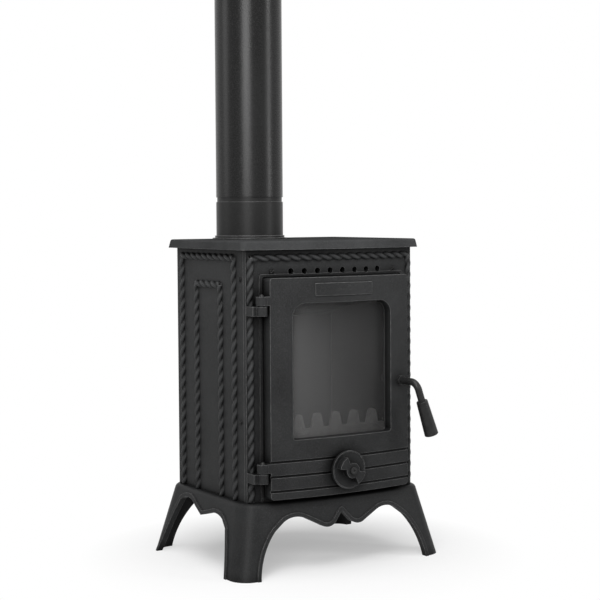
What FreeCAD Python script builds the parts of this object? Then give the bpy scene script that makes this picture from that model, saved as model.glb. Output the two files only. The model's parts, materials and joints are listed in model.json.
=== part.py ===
import FreeCAD, Part
import math
import os

# Small cast iron room stove on a one-piece leg stand, with a bowed front, a glazed door and a flue pipe.
# Millimetres. +X is right as seen from the front, +Y runs to the back, +Z is up, the floor is z = 0.

V = FreeCAD.Vector
UP = V(0, 0, 1)
ALONG_X = V(1, 0, 0)
ALONG_Y = V(0, 1, 0)
TO_FRONT = V(0, -1, 0)

# Body
body_width = 340.0
body_depth = 246.0
base_top = 124.0
plate_under = 551.0
wall = 8.0
bow_radius = 800.0
overrun = 5.0
touch_gap = 0.3
running_clearance = 0.05
part_gap = 1.0

# Top plate
plate_thickness = 15.0
plate_overhang = 12.0
plate_back_overhang = 18.0
plate_draft = 3.0
plate_corner_radius = 10.0
plate_edge_radius = 4.0

# Flue
flue_x = -60.0
flue_back_margin = 72.0
pipe_radius = 60.0
pipe_wall = 1.8
pipe_length = 500.0
pipe_start = 75.0
collar_height = 63.0
collar_edge_radius = 2.0
collar_bore = 52.0
spigot_reach = 34.0
socket_radius = 60.2
socket_outer_radius = 62.0
socket_depth = 45.0
flange_radius = 67.0
flange_thickness = 2.5
foot_ring_radius = 62.5
foot_ring_height = 4.0
collar_bolt_count = 3
collar_bolt_head_radius = 4.0
collar_bolt_radius = 2.0
collar_bolt_depth = 14.0
collar_bolt_head_height = 3.0
collar_bolt_circle = 56.0

# Leg stand
stand_wall = 8.0
stand_flare_floor = 41.0
stand_flare_shoulder = 17.0
stand_shoulder_height = 106.0
stand_flare_top = 13.0
stand_bow = 12.0
stand_corner_radius = 34.0
stand_shoulder_radius = 9.0
stand_opening_margin = 34.0
stand_lip_width = 6.5
stand_lip_rise = 2.0

# Front outline of the stand, as shares of half the floor width and of the stand's height
front_leg_shares = [(0.80, 0.0), (0.714, 0.435), (0.63, 0.625)]
front_arch_shares = [(0.545, 0.735), (0.436, 0.79), (0.332, 0.745)]
front_lobe_shares = [(0.211, 0.64), (0.127, 0.61), (0.056, 0.69)]
front_notch_share = 0.795

# Side outline of the stand, as shares of half the floor depth and of the stand's height, front to back
side_front_leg_shares = [(-0.70, 0.0), (-0.62, 0.35), (-0.54, 0.64)]
side_front_arch_shares = [(-0.448, 0.745), (-0.307, 0.79), (-0.159, 0.755)]
side_lobe_shares = (0.0, 0.70)
side_back_arch_shares = [(0.159, 0.80), (0.327, 0.88), (0.495, 0.82)]
side_back_leg_shares = [(0.62, 0.53), (0.80, 0.0)]

# Rope mouldings, drawn as plain rounds
rope_radius = 4.0
rope_sink = 1.0
front_rope_inset = 8.0
top_rope_drop = 13.5
side_rope_front_margin = 38.0
side_rope_back_margin = 21.0
inner_rope_front_margin = 85.4
inner_rope_back_margin = 74.6
inner_rope_drop = 61.5
bottom_rope_rise = 1.0

# Door opening in the front frame
opening_side_margin = 35.0
opening_low_margin = 16.0
opening_high_margin = 57.0
opening_radius = 8.0
bead_side_margin = 27.0
bead_width = 4.0
bead_height = 2.5
bead_high_margin = 45.0
vent_count = 8
vent_pitch = 25.4
vent_radius = 5.2
vent_drop = 36.8
vent_screw_margin = 46.0
small_screw_radius = 2.5
small_screw_head_radius = 4.2
small_screw_head_height = 2.2

# Door
door_side_margin = 29.0
door_low_margin = 7.0
door_high_margin = 47.0
door_corner_radius = 5.0
door_gap = 5.0
door_depth = 20.0
door_skin = 7.0
door_rim = 9.0
window_side_margin = 40.4
window_low_margin = 99.0
window_high_margin = 43.0
window_top_radius = 24.0
window_low_radius = 5.0
window_rim = 16.0
glass_seat_front = 0.8
glass_gasket_thickness = 2.0
glass_thickness = 4.0
glass_lap = 6.0
groove_rises = [63.7, 39.0, 14.0]
groove_depth = 3.2
groove_width = 4.2
seal_width = 8.0
seal_sink = 2.5
plaque_half = 58.0
plaque_low_margin = 31.5
plaque_high_margin = 10.0
plaque_rise = 1.4
clip_width = 30.0
clip_thickness = 2.0
clip_lap = 8.5
clip_screw_radius = 2.0
clip_screw_head_radius = 4.5
clip_screw_head_height = 2.5
clip_screw_depth = 8.0

# Hinges
hinge_inset = 18.0
hinge_front = 18.0
hinge_high_margin = 47.0
hinge_low_margin = 44.5
knuckle_height = 15.0
bracket_height = 16.0
knuckle_radius = 10.0
pin_radius = 4.0
bracket_reach = 17.0
knuckle_wall = 6.0
door_swing_gap = 1.6

# Door handle
handle_side_margin = 17.0
handle_boss_radius = 8.5
handle_boss_height = 6.0
spindle_radius = 6.3
handle_reach = 41.0
handle_bend = 14.0
handle_lean = 19.3
handle_neck = 35.0
grip_length = 64.0
grip_top_radius = 10.0
grip_low_radius = 12.3
grip_edge_radius = 1.2
grip_bore_depth = 40.0
grip_screw_radius = 2.0
grip_screw_inset = 9.0
cam_length = 24.0
cam_half_width = 6.0
cam_thickness = 8.0
cam_gap = 2.0
cam_rest_angle = 84.0
cam_nut_radius = 8.5
cam_nut_height = 6.0
nut_sides = 6

# Air dial on the door
dial_rise = 42.5
dial_radius = 32.8
dial_thickness = 4.8
dial_gap = 7.7
dial_rim = 2.2
dial_rim_height = 0.6
knob_boss_radius = 13.0
knob_wing_radius = 25.5
knob_height = 12.5
knob_wing_start = 115.0
knob_wing_sweep = 55.0
dial_bolt_radius = 4.0
dial_bolt_head_radius = 6.0
dial_bolt_head_height = 3.2
dial_socket_radius = 2.8
dial_socket_depth = 2.5
dial_boss_radius = 11.0
dial_bolt_tail = 13.0
stop_washer_radius = 9.0
stop_washer_thickness = 2.0
stop_washer_inset = 3.0
air_hole_count = 6
air_hole_radius = 5.0
air_hole_circle = 21.0

# Firebox
floor_thickness = 8.0
brick_thickness = 20.0
brick_gap = 2.0
side_brick_front_margin = 35.0
side_brick_back_margin = 31.0
brick_drop = 131.0
grate_rise = 64.0
grate_thickness = 10.0
grate_slot_count = 9
grate_slot_width = 9.0
grate_margin = 22.0
guard_front_margin = 13.0
guard_thickness = 6.0
guard_finger_count = 6
guard_finger_pitch = 38.5
guard_finger_width = 25.0
guard_tip_radius = 8.5
guard_bar_height = 54.0
guard_rise = 69.0
guard_hook_reach = 14.0
guard_hook_height = 6.0
baffle_thickness = 8.0
baffle_tilt = 14.0
baffle_front_margin = 96.0
deflector_thickness = 4.0
deflector_height = 34.0
deflector_reach = 26.0
pan_side_margin = 48.0
pan_front_margin = 27.0
pan_back_margin = 39.0
pan_height = 42.0
pan_wall = 2.0
pan_handle_radius = 4.0
pan_post_radius = 3.0
pan_handle_half = 40.0
pan_handle_reach = 12.0
rod_side_margin = 18.0
rod_front_margin = 20.0
rod_radius = 4.0
rod_nut_radius = 7.0
rod_nut_height = 6.5
side_screw_margin = 18.0
side_screw_drop = 50.0
side_screw_rise = 136.0

half_width = body_width / 2
half_depth = body_depth / 2
plate_top = plate_under + plate_thickness
bow_axis_y = -half_depth + math.sqrt(bow_radius ** 2 - half_width ** 2)
flue_y = half_depth - flue_back_margin

side_rope_front = half_depth - side_rope_front_margin
side_rope_back = half_depth - side_rope_back_margin
inner_rope_front = half_depth - inner_rope_front_margin
inner_rope_back = half_depth - inner_rope_back_margin
side_screw_y = half_depth - side_screw_margin
side_screw_heights = [plate_under - side_screw_drop, base_top + side_screw_rise]

opening_half = half_width - opening_side_margin
opening_low = base_top + opening_low_margin
opening_high = plate_under - opening_high_margin
bead_inner_half = half_width - bead_side_margin
bead_high = plate_under - bead_high_margin
vent_height = plate_under - vent_drop
vent_screw_half = half_width - vent_screw_margin

door_half = half_width - door_side_margin
door_low = base_top + door_low_margin
door_high = plate_under - door_high_margin
window_half = door_half - window_side_margin
window_low = door_low + window_low_margin
window_high = door_high - window_high_margin
glass_seat_y = bow_radius + glass_seat_front - bow_axis_y
groove_heights = [door_low + rise for rise in groove_rises]
plaque_low = door_high - plaque_low_margin
plaque_high = door_high - plaque_high_margin
hinge_x = -half_width + hinge_inset
hinge_y = bow_axis_y - math.sqrt((bow_radius + hinge_front) ** 2 - hinge_x ** 2)
hinge_parting = [door_high - hinge_high_margin, door_low + hinge_low_margin]
handle_x = door_half - handle_side_margin
handle_z = (door_low + door_high) / 2
dial_z = door_low + dial_rise

side_brick_front = half_depth - side_brick_front_margin
side_brick_back = half_depth - side_brick_back_margin
brick_high = plate_under - brick_drop
guard_y = half_depth - guard_front_margin
guard_high = base_top + floor_thickness + grate_rise + guard_rise
baffle_depth = body_depth - baffle_front_margin
pan_half_width = half_width - pan_side_margin
pan_front = half_depth - pan_front_margin
pan_back = half_depth - pan_back_margin
rod_x = half_width - rod_side_margin
rod_y = half_depth - rod_front_margin
sky = plate_top + pipe_start + pipe_length


def bowed(front):
    """y of the bowed front at the middle, with a surface that far in front of the frame."""
    return bow_axis_y - bow_radius - front


def bowed_at(x, front):
    return bow_axis_y - math.sqrt((bow_radius + front) ** 2 - x ** 2)


def block(x0, x1, y0, y1, z0, z1):
    return Part.makeBox(x1 - x0, y1 - y0, z1 - z0, V(x0, y0, z0))


def rod(radius, start, direction, length):
    return Part.makeCylinder(radius, length, start, direction)


def fuse(shapes):
    whole = shapes[0].multiFuse(shapes[1:]) if len(shapes) > 1 else shapes[0]
    return whole.removeSplitter()


def panel(x0, x1, z0, z1, low_radius, high_radius, depth):
    """A rounded rectangle in the XZ plane, drawn out to the front from y = 0."""
    def corner(cx, cz, radius, start):
        if radius == 0:
            return None
        turn = [math.radians(start), math.radians(start + 45), math.radians(start + 90)]
        return Part.Arc(*[V(cx + radius * math.cos(t), 0, cz + radius * math.sin(t))
                          for t in turn]).toShape()

    corners = [
        corner(x1 - low_radius, z0 + low_radius, low_radius, 270),
        corner(x1 - high_radius, z1 - high_radius, high_radius, 0),
        corner(x0 + high_radius, z1 - high_radius, high_radius, 90),
        corner(x0 + low_radius, z0 + low_radius, low_radius, 180),
    ]
    ends = [
        [V(x1 - low_radius, 0, z0), V(x1, 0, z0 + low_radius)],
        [V(x1, 0, z1 - high_radius), V(x1 - high_radius, 0, z1)],
        [V(x0 + high_radius, 0, z1), V(x0, 0, z1 - high_radius)],
        [V(x0, 0, z0 + low_radius), V(x0 + low_radius, 0, z0)],
    ]
    edges = []
    for i in range(len(ends)):
        if corners[i]:
            edges.append(corners[i])
        edges.append(Part.LineSegment(ends[i][1], ends[(i + 1) % len(ends)][0]).toShape())
    face = Part.Face(Part.Wire(edges))
    return face.extrude(TO_FRONT * depth)


def bow_slab(front, thickness):
    """Everything between two cylinders on the bow's axis, the outer one that far in front of the frame."""
    outer = rod(bow_radius + front, V(0, bow_axis_y, 0), UP, sky)
    inner = rod(bow_radius + front - thickness, V(0, bow_axis_y, -overrun), UP, sky + 2 * overrun)
    return outer.cut(inner)


def bowed_panel(x0, x1, z0, z1, low_radius, high_radius, front, thickness):
    reach = 2 * half_depth
    return panel(x0, x1, z0, z1, low_radius, high_radius, reach).common(bow_slab(front, thickness))


def screw(head_radius, head_height, shank_radius, start, direction, length):
    """A round-headed screw: the head stands on start and the shank runs back from it."""
    squash = FreeCAD.Matrix()
    squash.scale(V(1, 1, head_height / head_radius))
    dome = Part.makeSphere(head_radius, V(0, 0, 0), UP, 0, 90, 360).transformGeometry(squash)
    dome.Placement = FreeCAD.Placement(start, FreeCAD.Rotation(UP, direction))
    return fuse([dome, rod(shank_radius, start, direction * -1, length)])


# The leg stand

def stand_wire(z, flare, inset):
    x = half_width + flare - inset
    back = half_depth + flare - inset
    front = -half_depth - flare + inset
    middle = front - stand_bow
    return Part.Wire([
        Part.LineSegment(V(x, front, z), V(x, back, z)).toShape(),
        Part.LineSegment(V(x, back, z), V(-x, back, z)).toShape(),
        Part.LineSegment(V(-x, back, z), V(-x, front, z)).toShape(),
        Part.Arc(V(-x, front, z), V(0, middle, z), V(x, front, z)).toShape(),
    ])


def upright_edges(shape):
    """The slanting corner edges of a lofted stand."""
    found = []
    for edge in shape.Edges:
        ends = [v.Point for v in edge.Vertexes]
        if len(ends) == 2 and abs(ends[0].z - ends[1].z) > stand_wall:
            found.append(edge)
    return found


def stand_solid(inset, stations):
    """Ruled lofts through the stations, each a height and a flare, with rounded corners."""
    whole = None
    for (z0, flare0), (z1, flare1) in zip(stations, stations[1:]):
        part = Part.makeLoft([stand_wire(z0, flare0, inset), stand_wire(z1, flare1, inset)], True, True)
        whole = part if whole is None else whole.fuse(part)
    return whole.makeFillet(stand_corner_radius - inset, upright_edges(whole))


def arc3(points):
    return Part.Arc(*points).toShape()


def line(a, b):
    return Part.LineSegment(a, b).toShape()


def widened(edges, spread):
    """The face inside the edges, grown by the spread."""
    face = Part.Face(Part.Wire(Part.__sortEdges__(edges)))
    return face.makeOffset2D(spread) if spread else face


def front_cutter(spread):
    """The space between the legs, seen from the front: two arches with a lobed middle and a notch."""
    wide = half_width + stand_flare_floor + stand_lip_rise

    def at(pair, side):
        return V(side * wide * pair[0], 0, base_top * pair[1])

    def half(side):
        leg = [at(p, side) for p in front_leg_shares]
        arch = [at(p, side) for p in front_arch_shares]
        lobe = [at(p, side) for p in front_lobe_shares]
        notch = V(0, 0, base_top * front_notch_share)
        return [arc3(leg), line(leg[2], arch[0]), arc3(arch), line(arch[2], lobe[0]), arc3(lobe),
                line(lobe[2], notch)]

    low = -overrun
    foot = wide * front_leg_shares[0][0]
    floor = [
        line(V(foot, 0, 0), V(foot, 0, low)),
        line(V(foot, 0, low), V(-foot, 0, low)),
        line(V(-foot, 0, low), V(-foot, 0, 0)),
    ]
    edges = half(1) + half(-1) + floor
    face = widened(edges, spread)
    reach = half_depth + stand_flare_floor + stand_bow + overrun
    face.translate(V(0, reach, 0))
    return face.extrude(TO_FRONT * (2 * reach))


def side_cutter(spread):
    """The space between front and back legs, seen from the side, with one pointed lobe."""
    deep = half_depth + stand_flare_floor + stand_lip_rise

    def at(pair):
        return V(0, deep * pair[0], base_top * pair[1])

    front_leg = [at(p) for p in side_front_leg_shares]
    front_arch = [at(p) for p in side_front_arch_shares]
    back_arch = [at(p) for p in side_back_arch_shares]
    back_leg = [at(p) for p in side_back_leg_shares]
    lobe = at(side_lobe_shares)
    low = V(0, 0, -overrun)
    edges = [
        arc3(front_leg), line(front_leg[2], front_arch[0]), arc3(front_arch), line(front_arch[2], lobe),
        line(lobe, back_arch[0]), arc3(back_arch), line(back_arch[2], back_leg[0]),
        line(back_leg[0], back_leg[1]),
        line(back_leg[1], back_leg[1] + low), line(back_leg[1] + low, front_leg[0] + low),
        line(front_leg[0] + low, front_leg[0]),
    ]
    face = widened(edges, spread)
    reach = half_width + stand_flare_floor + overrun
    face.translate(V(-reach, 0, 0))
    return face.extrude(ALONG_X * (2 * reach))


def rod_places():
    return [(sx * rod_x, sy * rod_y) for sx in (-1, 1) for sy in (-1, 1)]


def leg_stand():
    """A hollow casting with a thin raised lip along its legs and arches."""
    stations = [(0, stand_flare_floor), (stand_shoulder_height, stand_flare_shoulder),
                (base_top, stand_flare_top)]
    outer = stand_solid(0, stations)
    shoulder = [e for e in outer.Edges if all(abs(v.Point.z - base_top) < touch_gap for v in e.Vertexes)]
    outer = outer.makeFillet(stand_shoulder_radius, shoulder)
    roof = base_top - stand_wall
    hollow = stand_solid(stand_wall, [(-overrun, stand_flare_floor), (roof, stand_flare_top)])
    mouth_x = half_width - stand_opening_margin
    mouth_y = half_depth - stand_opening_margin
    mouth = block(-mouth_x, mouth_x, -mouth_y, mouth_y, 0, base_top + overrun)
    lip = stand_solid(-stand_lip_rise, stations)
    lip = lip.common(front_cutter(stand_lip_width).fuse(side_cutter(stand_lip_width)))
    cutters = [front_cutter(0), side_cutter(0), mouth]
    cutters += [rod(rod_radius, V(x, y, roof - overrun), UP, stand_wall + 2 * overrun)
                for x, y in rod_places()]
    return outer.fuse(lip).cut(hollow).cut(cutters)


# The body

def bottom_plate():
    x = half_width - wall
    y = half_depth - wall
    behind_frame = rod(bow_radius - wall, V(0, bow_axis_y, base_top), UP, floor_thickness)
    plate = block(-x, x, -body_depth, y, base_top, base_top + floor_thickness).common(behind_frame)
    return plate.cut([rod(rod_radius, V(px, py, base_top - overrun), UP, floor_thickness + 2 * overrun)
                      for px, py in rod_places()])


def side_panel(side):
    """One side casting with its outer and inner rope frames."""
    outside = side * half_width
    inside = side * (half_width - wall)
    front = -half_depth + wall
    plate = block(min(outside, inside), max(outside, inside), front, half_depth, base_top, plate_under)
    x = side * (half_width - rope_sink)
    low = base_top + bottom_rope_rise
    high = plate_under - top_rope_drop
    inner_high = plate_under - inner_rope_drop
    ropes = []
    for y, top in ((-side_rope_front, high), (side_rope_back, high),
                   (-inner_rope_front, inner_high), (inner_rope_back, inner_high)):
        ropes.append(rod(rope_radius, V(x, y, low), UP, top - low))
        ropes.append(Part.makeSphere(rope_radius, V(x, y, top)))
    for y0, y1, z in ((-side_rope_front, side_rope_back, high),
                      (-inner_rope_front, inner_rope_back, inner_high)):
        ropes.append(rod(rope_radius, V(x, y0, z), ALONG_Y, y1 - y0))
    far = side * body_width
    keep = block(min(inside, far), max(inside, far), -body_depth, body_depth, 0, sky)
    panel_shape = fuse([plate] + ropes).common(keep)
    holes = [rod(small_screw_radius, V(outside + side * overrun, -side_screw_y, z), V(-side, 0, 0),
                 wall + 2 * overrun)
             for z in side_screw_heights]
    return panel_shape.cut(holes)


def back_panel():
    x = half_width - wall
    plate = block(-x, x, half_depth - wall, half_depth, base_top + floor_thickness, plate_under)
    return plate


def rope_bead(x, z0, z1):
    y = bowed_at(x, -rope_sink)
    return rod(rope_radius, V(x, y, z0), UP, z1 - z0)


def hinge_bracket(parting):
    low = parting - bracket_height
    eye = rod(knuckle_radius, V(hinge_x, hinge_y, low), UP, bracket_height)
    back = bowed_at(hinge_x, -wall / 2)
    arm = block(hinge_x - bracket_reach, hinge_x, hinge_y, back, low, parting)
    return [eye, arm]


def front_frame():
    frame = bowed_panel(-half_width, half_width, base_top, plate_under, 0, 0, 0, wall)
    bead_half = bead_inner_half + bead_width
    bead = bowed_panel(-bead_half, bead_half, base_top, bead_high + bead_width, 0, bead_width, bead_height,
                       bead_height + wall / 2)
    inside_bead = bowed_panel(-bead_inner_half, bead_inner_half, base_top - overrun, bead_high, 0,
                              bead_width,
                              bead_height + overrun, bead_height + wall + 2 * overrun)
    rope_x = half_width - front_rope_inset
    rope_z = plate_under - top_rope_drop
    ring = Part.makeTorus(bow_radius - rope_sink, rope_radius, V(0, bow_axis_y, rope_z), UP)
    rope_end = rope_x + rope_radius
    top_rope = ring.common(block(-rope_end, rope_end, -body_depth, 0, rope_z - wall, rope_z + wall))
    pieces = [frame, bead.cut(inside_bead), top_rope]
    for x in (-rope_x, rope_x):
        pieces.append(rope_bead(x, base_top, rope_z))
    for parting in hinge_parting:
        pieces += hinge_bracket(parting)
    whole = fuse(pieces)
    cutters = [panel(-opening_half, opening_half, opening_low, opening_high, opening_radius,
                     opening_radius, body_depth)]
    first = -vent_pitch * (vent_count - 1) / 2
    for i in range(vent_count):
        cutters.append(rod(vent_radius, V(first + i * vent_pitch, 0, vent_height), TO_FRONT, body_depth))
    for x in (-vent_screw_half, vent_screw_half):
        cutters.append(rod(small_screw_radius, V(x, 0, vent_height), TO_FRONT, body_depth))
        seat = V(x, bowed_at(vent_screw_half, 0), vent_height)
        cutters.append(rod(small_screw_head_radius, seat, TO_FRONT, overrun))
    for parting in hinge_parting:
        cutters.append(rod(pin_radius, V(hinge_x, hinge_y, parting - bracket_height - overrun), UP,
                           bracket_height + 2 * overrun))
    cutters.append(block(-half_width, half_width, -half_depth + wall, half_depth, base_top, plate_under))
    return whole.cut(cutters)


def plate_outline(z, spread):
    """The plate's rounded outline at one height, that far outside the body's own outline."""
    x = half_width + spread
    back = half_depth + plate_back_overhang - plate_overhang + spread
    slab = block(-x, x, -body_depth, back, z, z + plate_thickness)
    slab = slab.common(rod(bow_radius + spread, V(0, bow_axis_y, z), UP, plate_thickness))
    corners = [e for e in slab.Edges if abs(e.Vertexes[0].Point.z - e.Vertexes[-1].Point.z) > touch_gap]
    slab = slab.makeFillet(plate_corner_radius, corners)
    return min(slab.Faces, key=lambda face: face.BoundBox.ZMax).OuterWire


def top_plate():
    low = plate_outline(plate_under, plate_overhang)
    high = plate_outline(plate_top, plate_overhang - plate_draft)
    slab = Part.makeLoft([low, high], True, True)
    rim = [e for e in slab.Edges if all(abs(v.Point.z - plate_top) < touch_gap for v in e.Vertexes)]
    slab = slab.makeFillet(plate_edge_radius, rim)
    low = plate_under - overrun
    cutters = [rod(collar_bore, V(flue_x, flue_y, low), UP, plate_thickness + 2 * overrun)]
    for x, y in bolt_places():
        cutters.append(rod(collar_bolt_radius, V(x, y, low), UP, plate_thickness + 2 * overrun))
    return slab.cut(cutters)


def bolt_places():
    turn = 2 * math.pi / collar_bolt_count
    return [(flue_x + collar_bolt_circle * math.sin(i * turn + turn / 2),
             flue_y - collar_bolt_circle * math.cos(i * turn + turn / 2)) for i in range(collar_bolt_count)]


def flue_collar():
    """A turned casting, bolted to the plate from below, with a spigot that the pipe slips over."""
    foot = V(flue_x, flue_y, plate_top)
    top = collar_height + foot_ring_height
    barrel = rod(pipe_radius, foot, UP, top)
    rim = [e for e in barrel.Edges if e.BoundBox.ZMin > plate_top + collar_height]
    collar = fuse([
        rod(flange_radius, foot, UP, flange_thickness),
        rod(foot_ring_radius, foot, UP, flange_thickness + foot_ring_height),
        barrel.makeFillet(collar_edge_radius, rim),
        rod(pipe_radius - pipe_wall, foot, UP, pipe_start + spigot_reach),
    ])
    low = plate_top - overrun
    cutters = [rod(collar_bore, V(flue_x, flue_y, low), UP, pipe_start + spigot_reach + 2 * overrun)]
    for x, y in bolt_places():
        cutters.append(rod(collar_bolt_radius, V(x, y, low), UP, collar_bolt_depth + overrun))
    return collar.cut(cutters)


def collar_bolts():
    length = plate_thickness + collar_bolt_depth
    return Part.makeCompound([
        screw(collar_bolt_head_radius, collar_bolt_head_height, collar_bolt_radius, V(x, y, plate_under),
              UP * -1, length)
        for x, y in bolt_places()])


def flue_pipe():
    """One length of pipe, opened out at its top to take the next length."""
    low = plate_top + pipe_start
    mouth = low + pipe_length - socket_depth
    step = socket_outer_radius - pipe_radius
    pipe = fuse([
        rod(pipe_radius, V(flue_x, flue_y, low), UP, pipe_length),
        Part.makeCone(pipe_radius, socket_outer_radius, step, V(flue_x, flue_y, mouth - 2 * step), UP),
        rod(socket_outer_radius, V(flue_x, flue_y, mouth - step), UP, socket_depth + step),
    ])
    bore = rod(pipe_radius - pipe_wall, V(flue_x, flue_y, low - overrun), UP, pipe_length + 2 * overrun)
    socket = rod(socket_radius, V(flue_x, flue_y, mouth), UP, socket_depth + overrun)
    return pipe.cut([bore, socket])


def tie_rods():
    low = base_top - stand_wall
    return Part.makeCompound([rod(rod_radius, V(x, y, low), UP, plate_under - low) for x,
                              y in rod_places()])


def hexagon(radius, centre, direction, length):
    """A six-sided nut, with its flats set by the corner radius."""
    turn = 2 * math.pi / nut_sides
    corners = [V(radius * math.cos(i * turn), radius * math.sin(i * turn), 0) for i in range(nut_sides + 1)]
    nut = Part.Face(Part.makePolygon(corners)).extrude(UP * length)
    nut.Placement = FreeCAD.Placement(centre, FreeCAD.Rotation(UP, direction))
    return nut


def tie_rod_nuts():
    nuts = []
    for x, y in rod_places():
        start = V(x, y, base_top + floor_thickness)
        nut = hexagon(rod_nut_radius, start, UP, rod_nut_height)
        nuts.append(nut.cut(rod(rod_radius, start, UP, rod_nut_height)))
    return Part.makeCompound(nuts)


def side_screws():
    screws = []
    for side in (-1, 1):
        for z in side_screw_heights:
            start = V(side * half_width, -side_screw_y, z)
            screws.append(screw(small_screw_head_radius, small_screw_head_height, small_screw_radius, start,
                                V(side, 0, 0), wall))
    return Part.makeCompound(screws)


def frame_screws():
    y = bowed_at(vent_screw_half, 0)
    return Part.makeCompound([
        screw(small_screw_head_radius, small_screw_head_height, small_screw_radius, V(x, y, vent_height),
              TO_FRONT, wall)
        for x in (-vent_screw_half, vent_screw_half)])


def hinge_pins():
    pins = []
    for parting in hinge_parting:
        length = bracket_height + knuckle_height + door_swing_gap
        low = V(hinge_x, hinge_y, parting - bracket_height)
        pin = rod(pin_radius, low, UP, length)
        pins.append(fuse([pin, Part.makeSphere(pin_radius, low + UP * length)]))
    return Part.makeCompound(pins)


# The firebox

def air_deflector():
    """Angle strip behind the air holes that turns the air down over the glass."""
    back = -half_depth + wall
    half = opening_half
    top = plate_under
    shelf = block(-half, half, back, back + deflector_reach, top - deflector_thickness, top)
    lip = block(-half, half, back + deflector_reach - deflector_thickness, back + deflector_reach,
                top - deflector_height, top)
    return fuse([shelf, lip])


def baffle_slope(half, depth, thickness):
    """A slab that rises to the front from the top of the back brick."""
    slab = Part.makeBox(2 * half, depth, thickness, V(-half, -depth, 0))
    slab.rotate(V(0, 0, 0), ALONG_X, -baffle_tilt)
    back = half_depth - wall - brick_gap - thickness * math.sin(math.radians(baffle_tilt))
    slab.translate(V(0, back, brick_high))
    return slab


def baffle_plate():
    return baffle_slope(rod_x - rod_nut_radius - part_gap, baffle_depth, baffle_thickness)


def side_brick(side):
    """A firebrick whose sloped top carries the baffle."""
    outside = side * (half_width - wall)
    inside = outside - side * brick_thickness
    brick = block(min(outside, inside), max(outside, inside), -side_brick_front, side_brick_back,
                  grate_top(),
                  plate_under)
    above = baffle_slope(half_width, body_depth, baffle_thickness)
    return min(brick.cut(above).Solids, key=lambda solid: solid.CenterOfMass.z)


def back_brick():
    half = half_width - wall - brick_thickness - brick_gap
    back = half_depth - wall
    return block(-half, half, back - brick_thickness, back, grate_top(), brick_high)


def grate_top():
    return base_top + floor_thickness + grate_rise


def grate():
    half = half_width - wall - brick_gap
    front = -guard_y + guard_thickness + part_gap
    back = half_depth - wall - brick_gap
    high = grate_top()
    bed = block(-half, half, front, back, high - grate_thickness, high)
    corner = rod_nut_radius + part_gap
    cutters = [block(side * rod_x - corner, side * rod_x + corner, side_y * rod_y - corner,
                     side_y * rod_y + corner,
                     high - grate_thickness - overrun, high + overrun) for side in (-1,
                                                                                    1) for side_y in (-1,
                                                                                                      1)]
    pitch = (2 * (half - grate_margin)) / grate_slot_count
    for i in range(grate_slot_count):
        x = -half + grate_margin + (i + 1 / 2) * pitch
        cutters.append(block(x - grate_slot_width / 2, x + grate_slot_width / 2, front + grate_margin,
                             back - grate_margin, high - grate_thickness - overrun, high + overrun))
    leg = grate_margin / 2
    low = base_top + floor_thickness
    legs = [block(side * (half - leg) - leg / 2, side * (half - leg) + leg / 2, y - leg / 2, y + leg / 2,
                  low,
                  high - grate_thickness) for side in (-1, 1) for y in (-side_brick_front / 2,
                                                                        side_brick_back / 2)]
    return fuse([bed.cut(cutters)] + legs)


def log_guard():
    """The toothed bar that keeps logs off the glass."""
    low = grate_top() - grate_thickness
    span = (guard_finger_count - 1) * guard_finger_pitch
    half = span / 2 + guard_finger_width
    y = -guard_y
    bar_top = low + guard_bar_height
    pieces = [block(-half, half, y, y + guard_thickness, low, bar_top)]
    radius = guard_finger_width / 2
    shoulder = guard_high - guard_tip_radius
    for i in range(guard_finger_count):
        x = -span / 2 + i * guard_finger_pitch
        sides = Part.makePolygon([V(x - radius, y, low), V(x + radius, y, low), V(x + radius, y, bar_top),
                                  V(x + guard_tip_radius, y, shoulder), V(x - guard_tip_radius, y, shoulder),
                                  V(x - radius, y, bar_top), V(x - radius, y, low)])
        pieces.append(Part.Face(sides).extrude(ALONG_Y * guard_thickness))
        pieces.append(rod(guard_tip_radius, V(x, y, shoulder), ALONG_Y, guard_thickness))
    top = grate_top()
    for x in (-span / 2, span / 2):
        pieces.append(block(x - radius, x + radius, y, y + guard_thickness + guard_hook_reach, top,
                            top + guard_hook_height))
    return fuse(pieces)


def ash_pan():
    low = base_top + floor_thickness
    outer = block(-pan_half_width, pan_half_width, -pan_front, pan_back, low, low + pan_height)
    hollow = block(-pan_half_width + pan_wall, pan_half_width - pan_wall, -pan_front + pan_wall,
                   pan_back - pan_wall,
                   low + pan_wall, low + pan_height + overrun)
    z = low + pan_height / 2
    reach = -pan_front - pan_handle_reach
    bar = rod(pan_handle_radius, V(-pan_handle_half, reach, z), ALONG_X, 2 * pan_handle_half)
    inset = pan_handle_half - 2 * pan_handle_radius
    posts = [rod(pan_post_radius, V(x, reach, z), ALONG_Y, pan_handle_reach + pan_wall / 2)
             for x in (-inset, inset)]
    return fuse([outer.cut(hollow), bar] + posts)


# The door

def window_cutter(spread):
    """The window's outline, grown all round by the spread and drawn right through the door."""
    return panel(-window_half - spread, window_half + spread, window_low - spread, window_high + spread,
                 window_low_radius + spread, window_top_radius + spread, body_depth)


def door_front():
    return door_gap + door_depth


def dial_face_y():
    return bowed(door_front())


def groove_cutters():
    cutters = []
    for z in groove_heights:
        strip = bowed_panel(-door_half - overrun, door_half + overrun, z - groove_width / 2,
                            z + groove_width / 2, 0, 0,
                            door_front() + overrun, groove_depth + overrun)
        cutters.append(strip)
    return cutters


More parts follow.
